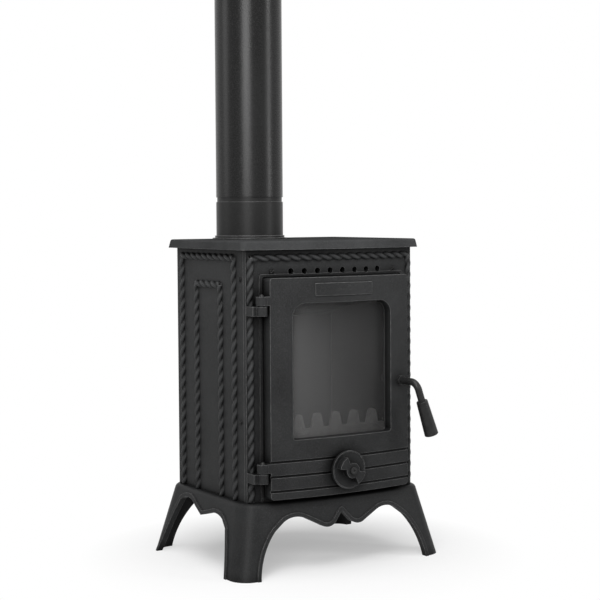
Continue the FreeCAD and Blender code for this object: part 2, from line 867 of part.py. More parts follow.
def door_frame():
    skin_front = door_front()
    shell = bowed_panel(-door_half, door_half, door_low, door_high, door_corner_radius,
                        door_corner_radius, skin_front,
                        door_depth)
    pocket = bowed_panel(-door_half + door_rim, door_half - door_rim, door_low + door_rim,
                         door_high - door_rim, 0, 0,
                         skin_front - door_skin, door_depth + overrun)
    shell = shell.cut(pocket)
    rim = window_cutter(window_rim).common(bow_slab(skin_front - door_skin / 2, body_depth / 2))
    rim = rim.common(block(-body_width, body_width, -body_depth, -glass_seat_y, 0, sky))
    boss_back = bowed_at(handle_x, door_gap)
    boss_front = bowed_at(handle_x, skin_front) - handle_boss_height
    handle_boss = rod(handle_boss_radius, V(handle_x, boss_back, handle_z), TO_FRONT,
                      boss_back - boss_front)
    dial_boss = rod(dial_boss_radius, V(0, bowed(door_gap), dial_z), TO_FRONT, door_depth - door_skin / 2)
    plaque = bowed_panel(-plaque_half, plaque_half, plaque_low, plaque_high, plaque_rise, plaque_rise,
                         skin_front + plaque_rise, plaque_rise + door_skin / 2)
    pieces = [shell, rim, handle_boss, dial_boss, plaque]
    for parting in hinge_parting:
        low = parting + door_swing_gap
        pieces.append(rod(knuckle_radius, V(hinge_x, hinge_y, low), UP, knuckle_height))
        arm = block(hinge_x, -door_half + knuckle_wall, hinge_y - knuckle_radius, hinge_y + knuckle_wall,
                    low, low + knuckle_height)
        pieces.append(arm.common(bow_slab(skin_front, door_depth)))
    whole = fuse(pieces)
    cutters = groove_cutters()
    cutters.append(window_cutter(0))
    cutters.append(rod(spindle_radius + running_clearance, V(handle_x, 0, handle_z), TO_FRONT, body_depth))
    cutters.append(rod(dial_bolt_radius + running_clearance, V(0, 0, dial_z), TO_FRONT, body_depth))
    for i in range(air_hole_count):
        turn = 2 * math.pi * i / air_hole_count
        centre = V(air_hole_circle * math.cos(turn), 0, dial_z + air_hole_circle * math.sin(turn))
        cutters.append(rod(air_hole_radius, centre, TO_FRONT, body_depth))
    for parting in hinge_parting:
        cutters.append(rod(pin_radius + running_clearance, V(hinge_x, hinge_y, parting), UP,
                           knuckle_height + overrun))
    cutters += [seal_ring(door_gap + seal_sink, seal_sink + overrun)]
    for x, z, _ in clip_places():
        cutters.append(rod(clip_screw_radius, V(x, -glass_seat_y, z), TO_FRONT, clip_screw_depth))
    return whole.cut(cutters)


def seal_ring(front, thickness):
    """A square-cut ring round the door's rim, following the bow."""
    mid = door_rim / 2
    out = mid - seal_width / 4
    into = mid + seal_width / 4
    ring = bowed_panel(-door_half + out, door_half - out, door_low + out, door_high - out,
                       door_corner_radius,
                       door_corner_radius, front, thickness)
    hole = bowed_panel(-door_half + into, door_half - into, door_low + into, door_high - into, 0, 0,
                       front + overrun,
                       thickness + 2 * overrun)
    return ring.cut(hole)


def door_rope_seal():
    return seal_ring(door_gap + seal_sink, door_gap + seal_sink - touch_gap)


def glass_low_y():
    return -glass_seat_y + glass_gasket_thickness


def door_glass():
    lap = glass_lap
    plate = panel(-window_half - lap, window_half + lap, window_low - lap, window_high + lap,
                  window_low_radius,
                  window_low_radius, glass_thickness)
    plate.translate(V(0, glass_low_y() + glass_thickness, 0))
    return plate


def glass_gasket():
    lap = glass_lap
    plate = panel(-window_half - lap, window_half + lap, window_low - lap, window_high + lap,
                  window_low_radius,
                  window_low_radius, glass_gasket_thickness)
    plate.translate(V(0, glass_low_y(), 0))
    return plate.cut(window_cutter(touch_gap))


def clip_places():
    """Centre of each clip screw and the turn that points its clip at the glass."""
    out = (window_rim + glass_lap) / 2
    middle = (window_low + window_high) / 2
    return [(-window_half - out, middle, 0), (window_half + out, middle, 180),
            (0, window_low - out, -90), (0, window_high + out, 90)]


def glass_clips():
    clips = []
    back = glass_low_y() + glass_thickness
    post = (window_rim - glass_lap) / 2
    side = clip_width / 2
    for x, z, turn in clip_places():
        bar = block(-post, clip_lap, back, back + clip_thickness, -side, side)
        foot = block(-post, post - touch_gap, -glass_seat_y, back, -side, side)
        clip = fuse([bar, foot]).cut(rod(clip_screw_radius, V(0, 0, 0), TO_FRONT, body_depth))
        clip.rotate(V(0, 0, 0), ALONG_Y, turn)
        clip.translate(V(x, 0, z))
        clips.append(clip)
    return Part.makeCompound(clips)


def clip_screws():
    back = glass_low_y() + glass_thickness + clip_thickness
    length = back + glass_seat_y + clip_screw_depth
    return Part.makeCompound([
        screw(clip_screw_head_radius, clip_screw_head_height, clip_screw_radius, V(x, back, z), ALONG_Y,
              length)
        for x, z, _ in clip_places()])


# The handle

def handle_front_y():
    return bowed_at(handle_x, door_front()) - handle_boss_height


def handle_down():
    """Unit direction of the hanging arm, leaning out to the right."""
    lean = math.radians(handle_lean)
    return V(math.sin(lean), 0, -math.cos(lean))


def handle_spindle():
    """One bent bar: out of the door, round an elbow and down into the grip."""
    down = handle_down()
    out_y = handle_front_y() - handle_reach
    elbow = V(handle_x, out_y, handle_z)
    start = V(handle_x, cam_back_y() + cam_nut_height, handle_z)
    bend_start = elbow + ALONG_Y * handle_bend
    bend_end = elbow + down * handle_bend
    centre = bend_start + down * handle_bend
    middle = centre + (elbow - centre).normalize() * handle_bend
    end = elbow + down * (handle_neck + grip_bore_depth)
    path = Part.Wire([
        Part.LineSegment(start, bend_start).toShape(),
        Part.Arc(bend_start, middle, bend_end).toShape(),
        Part.LineSegment(bend_end, end).toShape(),
    ])
    ring = Part.Wire(Part.makeCircle(spindle_radius, start, TO_FRONT))
    return path.makePipeShell([ring], True, False)


def handle_grip():
    down = handle_down()
    elbow = V(handle_x, handle_front_y() - handle_reach, handle_z)
    top = elbow + down * handle_neck
    grip = Part.makeCone(grip_top_radius, grip_low_radius, grip_length, top, down)
    grip = grip.makeFillet(grip_edge_radius, [e for e in grip.Edges if len(e.Vertexes) == 1])
    screw_at = top + down * grip_screw_inset
    return grip.cut([rod(spindle_radius, top - down * overrun, down, grip_bore_depth + overrun),
                     rod(grip_screw_radius, screw_at, TO_FRONT, grip_low_radius + overrun)])


def grip_screw():
    down = handle_down()
    elbow = V(handle_x, handle_front_y() - handle_reach, handle_z)
    at = elbow + down * (handle_neck + grip_screw_inset)
    share = grip_screw_inset / grip_length
    surface = grip_top_radius + (grip_low_radius - grip_top_radius) * share
    return rod(grip_screw_radius, at + TO_FRONT * spindle_radius, TO_FRONT,
               surface - spindle_radius + touch_gap)


def cam_back_y():
    """Back face of the latch cam, which turns just behind the frame."""
    return bowed_at(opening_half, -wall) + cam_gap + cam_thickness


def latch_cam():
    front = cam_back_y() - cam_thickness
    turn = math.radians(cam_rest_angle)
    arm = block(0, cam_length - cam_half_width, 0, cam_thickness, -cam_half_width, cam_half_width)
    tip = rod(cam_half_width, V(cam_length - cam_half_width, 0, 0), ALONG_Y, cam_thickness)
    eye = rod(cam_nut_radius, V(0, 0, 0), ALONG_Y, cam_thickness)
    cam = fuse([arm, tip, eye])
    cam = cam.cut(rod(spindle_radius, V(0, -overrun, 0), ALONG_Y, cam_thickness + 2 * overrun))
    cam.rotate(V(0, 0, 0), ALONG_Y, -math.degrees(turn))
    cam.translate(V(handle_x, front, handle_z))
    return cam


def cam_nut():
    start = V(handle_x, cam_back_y(), handle_z)
    nut = hexagon(cam_nut_radius, start, ALONG_Y, cam_nut_height)
    return nut.cut(rod(spindle_radius, start, ALONG_Y, cam_nut_height))


# The air dial

def dial_back_y():
    return dial_face_y() - dial_gap


def knob_wing(start):
    """One flat wing of the grip, a slice of a round between two radial sides."""
    wing = Part.makeCylinder(knob_wing_radius, knob_height, V(0, 0, 0), UP, knob_wing_sweep)
    wing.rotate(V(0, 0, 0), UP, start)
    return wing


def air_dial():
    disc = rod(dial_radius, V(0, 0, 0), UP, dial_thickness)
    rim = rod(dial_radius, V(0, 0, dial_thickness), UP, dial_rim_height)
    rim = rim.cut(rod(dial_radius - dial_rim, V(0, 0, dial_thickness), UP, dial_rim_height))
    boss = rod(knob_boss_radius, V(0, 0, 0), UP, dial_thickness + knob_height)
    wings = []
    for start in (knob_wing_start, knob_wing_start + 180):
        wing = knob_wing(start)
        wing.translate(V(0, 0, dial_thickness))
        wings.append(wing)
    dial = fuse([disc, rim, boss] + wings)
    dial = dial.cut(rod(dial_bolt_radius, V(0, 0, -overrun), UP,
                        dial_thickness + knob_height + 2 * overrun))
    dial.Placement = FreeCAD.Placement(V(0, dial_back_y(), dial_z), FreeCAD.Rotation(ALONG_X, 90))
    return dial


def dial_bolt():
    top = dial_back_y() - dial_thickness - knob_height
    start = V(0, top, dial_z)
    head = rod(dial_bolt_head_radius, start, TO_FRONT, dial_bolt_head_height)
    shank_end = bowed(door_gap) + dial_bolt_tail
    shank = rod(dial_bolt_radius, start, ALONG_Y, shank_end - top)
    socket = hexagon(dial_socket_radius, start + TO_FRONT * dial_bolt_head_height, ALONG_Y,
                     dial_socket_depth)
    return fuse([head, shank]).cut(socket)


def stop_washer():
    """Keeps the bolt from winding right out of the door."""
    back = bowed(door_gap) + dial_bolt_tail - stop_washer_inset
    start = V(0, back, dial_z)
    washer = rod(stop_washer_radius, start, TO_FRONT, stop_washer_thickness)
    return washer.cut(rod(dial_bolt_radius + running_clearance, start, TO_FRONT, stop_washer_thickness))


pieces = {
    "leg_stand": leg_stand(),
    "bottom_plate": bottom_plate(),
    "left_side_panel": side_panel(-1),
    "right_side_panel": side_panel(1),
    "back_panel": back_panel(),
    "front_frame": front_frame(),
    "top_plate": top_plate(),
    "flue_collar": flue_collar(),
    "collar_bolts": collar_bolts(),
    "flue_pipe": flue_pipe(),
    "tie_rods": tie_rods(),
    "tie_rod_nuts": tie_rod_nuts(),
    "side_screws": side_screws(),
    "frame_screws": frame_screws(),
    "hinge_pins": hinge_pins(),
    "air_deflector": air_deflector(),
    "baffle_plate": baffle_plate(),
    "left_firebrick": side_brick(-1),
    "right_firebrick": side_brick(1),
    "back_firebrick": back_brick(),
    "grate": grate(),
    "log_guard": log_guard(),
    "ash_pan": ash_pan(),
    "door_frame": door_frame(),
    "door_rope_seal": door_rope_seal(),
    "door_glass": door_glass(),
    "glass_gasket": glass_gasket(),
    "glass_clips": glass_clips(),
    "clip_screws": clip_screws(),
    "handle_spindle": handle_spindle(),
    "handle_grip": handle_grip(),
    "grip_screw": grip_screw(),
    "latch_cam": latch_cam(),
    "cam_nut": cam_nut(),
    "air_dial": air_dial(),
    "dial_bolt": dial_bolt(),
    "stop_washer": stop_washer(),
}

# The origin is the middle of the whole stove's box, on the floor
box = FreeCAD.BoundBox()
for shape in pieces.values():
    box.add(shape.optimalBoundingBox(False))
shift = V(-box.Center.x, -box.Center.y, -box.ZMin)
os.makedirs("parts", exist_ok=True)
for name, shape in pieces.items():
    moved = shape.translated(shift)
    moved.exportStep("parts/" + name + ".step")
    print(name, len(moved.Solids), moved.isValid(), round(moved.Volume))
print("shift", shift, "box", box)
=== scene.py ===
import json
import math

import bpy
from mathutils import Matrix, Vector


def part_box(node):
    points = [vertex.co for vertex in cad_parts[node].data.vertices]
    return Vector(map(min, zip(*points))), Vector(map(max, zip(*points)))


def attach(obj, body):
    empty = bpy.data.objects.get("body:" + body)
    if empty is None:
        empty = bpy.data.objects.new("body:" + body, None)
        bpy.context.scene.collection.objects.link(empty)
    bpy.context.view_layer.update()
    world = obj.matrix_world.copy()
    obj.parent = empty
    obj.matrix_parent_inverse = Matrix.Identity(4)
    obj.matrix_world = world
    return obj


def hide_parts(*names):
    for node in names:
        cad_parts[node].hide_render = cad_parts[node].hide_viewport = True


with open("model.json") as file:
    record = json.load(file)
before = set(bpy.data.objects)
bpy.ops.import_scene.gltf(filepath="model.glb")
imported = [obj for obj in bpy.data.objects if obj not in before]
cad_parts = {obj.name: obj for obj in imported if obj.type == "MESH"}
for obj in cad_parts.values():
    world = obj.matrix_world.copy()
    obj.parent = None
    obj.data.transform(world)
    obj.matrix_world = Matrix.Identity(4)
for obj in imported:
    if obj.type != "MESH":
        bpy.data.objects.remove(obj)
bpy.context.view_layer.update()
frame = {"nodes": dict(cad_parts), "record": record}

nodes = frame["nodes"]
print("frame loaded:", len(nodes), "nodes")

# Sizes that the solids have too, in metres. The body's middle lies behind the middle of the whole box.
stove = {
    "halfWidth": 0.170,
    "halfDepth": 0.123,
    "baseTop": 0.124,
    "plateUnder": 0.551,
    "bowRadius": 0.800,
}
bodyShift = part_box("back_panel")[1][1] - stove["halfDepth"]
axisToCorners = math.sqrt(stove["bowRadius"] ** 2 - stove["halfWidth"] ** 2)
bowAxis = axisToCorners - stove["halfDepth"] + bodyShift


def bowedAt(x, front):
    return bowAxis - math.sqrt((stove["bowRadius"] + front) ** 2 - x ** 2)


def link(made):
    bpy.context.scene.collection.objects.link(made)
    return made


# Camera, solved from the photograph's edges

cameraSet = {
    "place": (-1.4149, -2.2865, 0.6149),    # from the body's middle on the floor
    "azimuth": -32.005,
    "pitch": 3.386,
    "roll": -0.3286,
    "focal": 1495.4,            # in pixels of the photograph's frame
    "framePixels": 600,
    "sensor": 36.0,
    "clipEnd": 100,
}


def addCamera():
    turn, pitch, roll = (math.radians(cameraSet[k]) for k in ("azimuth", "pitch", "roll"))
    back = Vector((math.sin(turn) * math.cos(pitch), -math.cos(turn) * math.cos(pitch), math.sin(pitch)))
    right = Vector((math.cos(turn), math.sin(turn), 0))
    up = back.cross(right)
    rightRolled = right * math.cos(roll) + up * math.sin(roll)
    upRolled = up * math.cos(roll) - right * math.sin(roll)
    data = bpy.data.cameras.new("photoCamera")
    data.sensor_width = cameraSet["sensor"]
    data.sensor_fit = "HORIZONTAL"
    data.lens = cameraSet["focal"] / cameraSet["framePixels"] * cameraSet["sensor"]
    data.clip_end = cameraSet["clipEnd"]
    camera = link(bpy.data.objects.new("photoCamera", data))
    turned = Matrix((rightRolled, upRolled, back)).transposed().to_4x4()
    x, y, z = cameraSet["place"]
    camera.matrix_world = Matrix.Translation((x, y + bodyShift, z)) @ turned
    bpy.context.scene.camera = camera


addCamera()
bpy.context.scene.view_settings.view_transform = "Standard"
print("camera set")


# Node maths: a value is one socket, and a graph adds the nodes

class Value:
    def __init__(self, graph, socket):
        self.graph = graph
        self.socket = socket

    def __getitem__(self, output):      # another output of the same node
        return Value(self.graph, self.socket.node.outputs[output])

    def math(self, operation, a, b=0.0, clamp=False):
        return self.graph.node("ShaderNodeMath", {"operation": operation, "use_clamp": clamp}, {0: a, 1: b})

    def apply(self, operation, other=0.0):
        return self.math(operation, self, other)

    def __add__(self, other):
        return self.math("ADD", self, other)

    __radd__ = __add__

    def __sub__(self, other):
        return self.math("SUBTRACT", self, other)

    def __rsub__(self, other):
        return self.math("SUBTRACT", other, self)

    def __mul__(self, other):
        return self.math("MULTIPLY", self, other)

    __rmul__ = __mul__

    def __truediv__(self, other):
        return self.math("DIVIDE", self, other)

    def __rtruediv__(self, other):
        return self.math("DIVIDE", other, self)

    def __pow__(self, other):
        return self.math("POWER", self, other)

    def clamped(self):
        return self.math("ADD", self, 0.0, True)

    def between(self, low, high):
        return ((self - low) / (high - low)).clamped()


class Graph:
    def __init__(self, tree):
        self.tree = tree
        tree.nodes.clear()

    def node(self, kind, settings=None, inputs=None, output=0):
        made = self.tree.nodes.new(kind)
        for key, value in (settings or {}).items():
            setattr(made, key, value)
        for key, value in (inputs or {}).items():
            for each in value if isinstance(value, list) else [value]:      # a list is several links
                self.put(made.inputs[key], each)
        return Value(self, made.outputs[output]) if len(made.outputs) else None

    def put(self, socket, value):
        if isinstance(value, Value):
            self.tree.links.new(value.socket, socket)
        else:
            socket.default_value = value


raySamples = 6                  # for rounded edges and for gaps
cloudBand = (0.3, 0.7)          # the range of a noise over which a finish goes from dark to pale


class Finish(Graph):
    def __init__(self, name):
        self.material = bpy.data.materials.new(name)
        self.material.use_nodes = True
        super().__init__(self.material.node_tree)

    def place(self):
        return self.node("ShaderNodeTexCoord", output="Object")

    def noise(self, scale, detail, rough, stretch=None):
        where = self.place()
        if stretch:
            where = self.node("ShaderNodeMapping", None, {"Vector": where, "Scale": stretch})
        inputs = {"Vector": where, "Scale": scale, "Detail": detail, "Roughness": rough}
        return self.node("ShaderNodeTexNoise", None, inputs, "Fac")

    def mix(self, share, a, b):
        return self.node("ShaderNodeMix", {"data_type": "RGBA"}, {0: share, 6: a, 7: b}, 2)

    def edges(self, radius):
        # rounded normal, and how far it leans from the flat one
        soft = self.node("ShaderNodeBevel", {"samples": raySamples}, {"Radius": radius}, "Normal")
        flat = self.node("ShaderNodeNewGeometry", output="Normal")
        lean = self.node("ShaderNodeVectorMath", {"operation": "DOT_PRODUCT"}, {0: soft, 1: flat}, "Value")
        return soft, (1.0 - lean).clamped()

    def bump(self, height, distance, strength, normal=None):
        inputs = {"Height": height, "Distance": distance, "Strength": strength}
        if normal:
            inputs["Normal"] = normal
        return self.node("ShaderNodeBump", None, inputs, "Normal")

    def close(self, shader):
        self.node("ShaderNodeOutputMaterial", None, {"Surface": shader})
        return self.material

    def surface(self, **sockets):
        inputs = {label.replace("_", " "): value for label, value in sockets.items()}
        return self.close(self.node("ShaderNodeBsdfPrincipled", None, inputs, "BSDF"))


def grey(level, warmth=0.0):
    return (level * (1 + warmth), level, level * (1 - warmth), 1)


# Cast iron under matte stove paint. A noise is its scale, detail and roughness, and a stretch if it has one.

ironSet = {
    "dark": 0.014, "pale": 0.022, "warmth": -0.02, "cloud": (14, 5, 0.6),
    "sand": (620, 3, 0.65), "sandHeight": 0.00016, "sandStrength": 0.8,
    "speck": 0.090, "speckBand": (0.45, 0.8), "speckShare": 0.3,
    "mould": (95, 3, 0.5), "mouldHeight": 0.0005, "mouldStrength": 0.35,
    # paler edges: partly worn paint, partly a painted highlight where rounded edges catch the light
    "edge": 0.280, "edgeRadius": 0.0014, "edgeGain": 7.0, "edgeShare": 0.7,
    "patch": (160, 3, 0.6), "patchBand": (0.35, 0.75), "patchLeast": 0.4,       # the paler edges, worn paint and painted highlight, come and go
    "rough": 0.42, "cloudRough": 0.16, "sandRough": 0.2, "wearRough": 0.12, "gloss": 0.05,
    "gap": 0.001, "gapReach": 0.022, "gapLeast": 0.02, "gapPower": 2.0,         # painted shade in gaps and corners
    "lowShade": 0.24, "lowFrom": 0.08, "lowTo": 0.50,       # and painted shade near the floor, where less light falls
}
# the top plate: the iron without gloss and 1.9 times paler, painted light standing in for the sheen it loses
plateSet = {"tone": 1.9, "gloss": 0.0}
# rope crests paler, partly wear and partly a painted highlight; notches near black as painted shade
ropeIronSet = {"notch": 0.001, "crest": 0.038, "crestPower": 0.7, "share": 0.9}


def castIronFinish(name, crested=False, gloss=ironSet["gloss"], tone=1.0):
    f = Finish(name)
    cloud = f.noise(*ironSet["cloud"])
    sand = f.noise(*ironSet["sand"])
    mould = f.noise(*ironSet["mould"])
    patches = f.noise(*ironSet["patch"]).between(*ironSet["patchBand"])
    soft, lean = f.edges(ironSet["edgeRadius"])
    edgeWearAndHighlight = (lean * ironSet["edgeGain"]).clamped()
    edgeWearAndHighlight = edgeWearAndHighlight * (ironSet["patchLeast"] + patches * (1 - ironSet["patchLeast"]))
    dark, pale = (grey(ironSet[k] * tone, ironSet["warmth"]) for k in ("dark", "pale"))
    colour = f.mix(cloud.between(*cloudBand), dark, pale)
    if crested:
        # painted highlight on the rope crests, besides wear, and painted shade in the notches
        crest = f.node("ShaderNodeAttribute", {"attribute_name": "crest"}, None, "Fac")
        high = grey(ropeIronSet["crest"], ironSet["warmth"])
        wearAndPaintedLight = f.mix(crest ** ropeIronSet["crestPower"], grey(ropeIronSet["notch"]), high)
        colour = f.mix(ropeIronSet["share"], colour, wearAndPaintedLight)
    colour = f.mix(sand.between(*ironSet["speckBand"]) * ironSet["speckShare"], colour, grey(ironSet["speck"]))
    # paler edges: partly worn paint, partly a painted highlight on the rounded edges
    colour = f.mix(edgeWearAndHighlight * ironSet["edgeShare"], colour, grey(ironSet["edge"]))
    # painted shade in gaps and corners, where ambient occlusion finds them
    bare = f.node("ShaderNodeAmbientOcclusion", {"samples": raySamples}, {"Distance": ironSet["gapReach"]}, "AO")
    gap = (1 - ironSet["gapLeast"]) * (1 - bare ** ironSet["gapPower"])
    colour = f.mix(gap, colour, grey(ironSet["gap"]))
    # painted shade, darker towards the floor
    height = f.node("ShaderNodeSeparateXYZ", None, {"Vector": f.place()}, "Z")
    low = 1 - height.between(ironSet["lowFrom"], ironSet["lowTo"])
    colour = f.mix(low * ironSet["lowShade"], colour, grey(ironSet["gap"]))
    rough = ironSet["rough"] + (cloud - 0.5) * ironSet["cloudRough"]
    rough = rough + (sand - 0.5) * ironSet["sandRough"] - edgeWearAndHighlight * ironSet["wearRough"]
    lumps = f.bump(mould, ironSet["mouldHeight"], ironSet["mouldStrength"], soft)
    normal = f.bump(sand, ironSet["sandHeight"], ironSet["sandStrength"], lumps)
    return f.surface(Base_Color=colour, Roughness=rough, Normal=normal, Specular_IOR_Level=gloss)


# Painted and bare steel, and the ash on the log guard: a cloudy tone, fine grain and paler edges, partly wear and
# partly a painted highlight.
# Where a finish has no grain of its own, its cloud makes the bump.

pipeSet = {
    "dark": 0.004, "pale": 0.007, "cloud": (9, 4, 0.6, (1, 1, 0.3)),
    "grain": (620, 2, 0.6), "bumpHeight": 0.00016, "bumpStrength": 0.7,
    "speck": 0.06, "speckBand": (0.55, 0.85), "speckShare": 0.4,
    "edge": 0.11, "edgeRadius": 0.0006, "edgeGain": 2.5, "edgeShare": 0.6,
    "rough": 0.28, "cloudRough": 0.12, "grainRough": 0.18, "gloss": 0.17,
}
# the collar's rim edges much paler: a painted highlight along the rim
collarSet = {**pipeSet, "dark": 0.009, "pale": 0.014, "rough": 0.36, "gloss": 0.11, "edge": 0.60}
blackSteelSet = {
    "dark": 0.010, "pale": 0.018, "cloud": (60, 4, 0.6),
    "grain": (900, 2, 0.6), "bumpHeight": 0.00006, "bumpStrength": 0.6,
    "edge": 0.10, "edgeRadius": 0.0010, "edgeGain": 3.0, "edgeShare": 0.5,
    "rough": 0.36, "cloudRough": 0.2, "grainRough": 0.1, "gloss": 0.15,
}
screwBlackSet = {
    "dark": 0.002, "pale": 0.005, "cloud": (260, 3, 0.6), "bumpHeight": 0.00005, "bumpStrength": 0.5,
    "edge": 0.16, "edgeRadius": 0.0004, "edgeGain": 4.0, "edgeShare": 0.8,
    "rough": 0.45, "cloudRough": 0.25, "gloss": 0.1,
}
darkSteelSet = {
    "dark": 0.10, "pale": 0.17, "cloud": (220, 3, 0.6), "bumpHeight": 0.00005, "bumpStrength": 0.5,
    "edge": 0.32, "edgeRadius": 0.0005, "edgeGain": 3.0, "edgeShare": 0.6,
    "rough": 0.38, "cloudRough": 0.25, "gloss": 0.5, "metal": 0.9,
}
ashGreySet = {
    "dark": 0.20, "pale": 0.32, "warmth": 0.02, "cloud": (70, 5, 0.65),
    "grain": (700, 3, 0.6), "bumpHeight": 0.0003, "bumpStrength": 0.6,
    "edge": 0.45, "edgeRadius": 0.0012, "edgeGain": 3.0, "edgeShare": 0.7,
    "rough": 0.8, "gloss": 0.1,
}


def cloudyFinish(name, chosen):
    f = Finish(name)
    warmth = chosen.get("warmth", 0.0)
    cloud = f.noise(*chosen["cloud"])
    grain = f.noise(*chosen["grain"]) if "grain" in chosen else cloud
    soft, lean = f.edges(chosen["edgeRadius"])
    colour = f.mix(cloud.between(*cloudBand), grey(chosen["dark"], warmth), grey(chosen["pale"], warmth))
    if "speck" in chosen:
        specks = grain.between(*chosen["speckBand"]) * chosen["speckShare"]
        colour = f.mix(specks, colour, grey(chosen["speck"]))
    # paler edges: partly worn, partly a painted highlight on the rounded edges
    wearAndPaintedLight = (lean * chosen["edgeGain"]).clamped() * chosen["edgeShare"]
    colour = f.mix(wearAndPaintedLight, colour, grey(chosen["edge"], warmth))
    rough = chosen["rough"]
    if "cloudRough" in chosen:
        rough = rough + (cloud - 0.5) * chosen["cloudRough"]
    if "grainRough" in chosen:
        rough = rough + (grain - 0.5) * chosen["grainRough"]
    normal = f.bump(grain, chosen["bumpHeight"], chosen["bumpStrength"], soft)
    return f.surface(Base_Color=colour, Roughness=rough, Normal=normal, Metallic=chosen.get("metal", 0.0),
                     Specular_IOR_Level=chosen["gloss"])


# Clear glass under a thin soot film, which is paler towards the hinges

glassSet = {
    "filmDark": 0.033, "filmPale": 0.108, "fall": 1.4, "half": 0.10, "cover": 0.45, "coverSpread": 0.1,
    "smear": (6, 3, 0.55), "smearBand": (0.45, 0.8), "smearDrift": 0.5, "smearRough": 0.10,
    "rough": 0.05, "index": 1.46, "gloss": 0.15,
}


def stoveGlassFinish():
    f = Finish("stoveGlassFilmed")
    across = f.node("ShaderNodeSeparateXYZ", None, {"Vector": f.place()}, "X")
    smear = f.noise(*glassSet["smear"])
    lean = (0.5 - across / (2 * glassSet["half"]) + (smear - 0.5) * glassSet["smearDrift"]).clamped()
    colour = f.mix(lean ** glassSet["fall"], grey(glassSet["filmDark"]), grey(glassSet["filmPale"]))
    rough = glassSet["rough"] + smear.between(*glassSet["smearBand"]) * glassSet["smearRough"]
    cover = glassSet["cover"] + (smear - 0.5) * glassSet["coverSpread"]
    return f.surface(Base_Color=colour, Roughness=rough, IOR=glassSet["index"], Alpha=cover,
                     Specular_IOR_Level=glassSet["gloss"])


# Vermiculite bricks, darkened by soot and by painted shade inside the firebox

brickSet = {
    "dark": (0.085, 0.075, 0.062, 1), "pale": (0.125, 0.112, 0.095, 1), "flakeScale": 380.0, "flakeShare": 0.4,
    "pores": (480, 3, 0.6), "poreHeight": 0.0001, "poreStrength": 0.1,
    # near-black overlay: soot and painted shade inside the firebox
    "soot": (16, 5, 0.65), "sootTone": 0.014, "sootLeast": 0.72, "sootSpread": 0.23,
    "edgeRadius": 0.0015, "rough": 0.9, "gloss": 0.0,
}


def firebrickFinish():
    f = Finish("firebrickVermiculite")
    inputs = {"Vector": f.place(), "Scale": brickSet["flakeScale"]}
    flakes = f.node("ShaderNodeTexVoronoi", {"feature": "F1"}, inputs, "Color")
    flake = f.node("ShaderNodeSeparateColor", None, {"Color": flakes}, "Red")
    soot = f.noise(*brickSet["soot"])
    pores = f.noise(*brickSet["pores"])
    soft, lean = f.edges(brickSet["edgeRadius"])
    share = flake * brickSet["flakeShare"] + pores * (1 - brickSet["flakeShare"])
    colour = f.mix(share, brickSet["dark"], brickSet["pale"])
    # soot, and painted shade of the dark firebox, take the bricks most of the way to near black
    sootAndShadeShare = brickSet["sootLeast"] + soot.between(*cloudBand) * brickSet["sootSpread"]
    colour = f.mix(sootAndShadeShare, colour, grey(brickSet["sootTone"]))
    normal = f.bump(pores, brickSet["poreHeight"], brickSet["poreStrength"], soft)
    return f.surface(Base_Color=colour, Roughness=brickSet["rough"], Normal=normal,
                     Specular_IOR_Level=brickSet["gloss"])


# Glass fibre rope

fibreSet = {
    "dark": 0.020, "pale": 0.045, "cloud": (40, 3, 0.6), "rough": 0.92,
    "strands": (1500, 2, 0.6), "strandBand": (0.5, 0.8), "strandTone": 0.11, "strandShare": 0.6,
    "strandHeight": 0.0003, "strandStrength": 0.8,
}


def sealRopeFinish():
    f = Finish("sealRopeFibre")
    strands = f.noise(*fibreSet["strands"])
    cloud = f.noise(*fibreSet["cloud"])
    colour = f.mix(cloud, grey(fibreSet["dark"]), grey(fibreSet["pale"]))
    lit = strands.between(*fibreSet["strandBand"]) * fibreSet["strandShare"]
    colour = f.mix(lit, colour, grey(fibreSet["strandTone"]))
    normal = f.bump(strands, fibreSet["strandHeight"], fibreSet["strandStrength"])
    return f.surface(Base_Color=colour, Roughness=fibreSet["rough"], Normal=normal)


finishes = {
    "cast_iron": castIronFinish("castIronBlack"),
    "black_pipe": cloudyFinish("pipePaintSatin", pipeSet),
    "black_steel": cloudyFinish("blackSteelSatin", blackSteelSet),
    "steel": cloudyFinish("screwSteelDark", darkSteelSet),
    "stove_glass": stoveGlassFinish(),
    "firebrick": firebrickFinish(),
    "seal_rope": sealRopeFinish(),
}
ownFinishes = {                 # nodes that look unlike the rest of their slot
    "log_guard": cloudyFinish("logGuardAshGrey", ashGreySet),
    "top_plate": castIronFinish("castIronPlate", False, plateSet["gloss"], plateSet["tone"]),
    "flue_collar": cloudyFinish("collarPaintSatin", collarSet),
}
for part in frame["record"]["subparts"]:
    mesh = nodes[part["node"]].data
    mesh.materials.clear()
    mesh.materials.append(ownFinishes.get(part["node"], finishes[part["material_slot"]]))
print("finishes set:", len(finishes) + len(ownFinishes))


# Geometry Nodes helpers

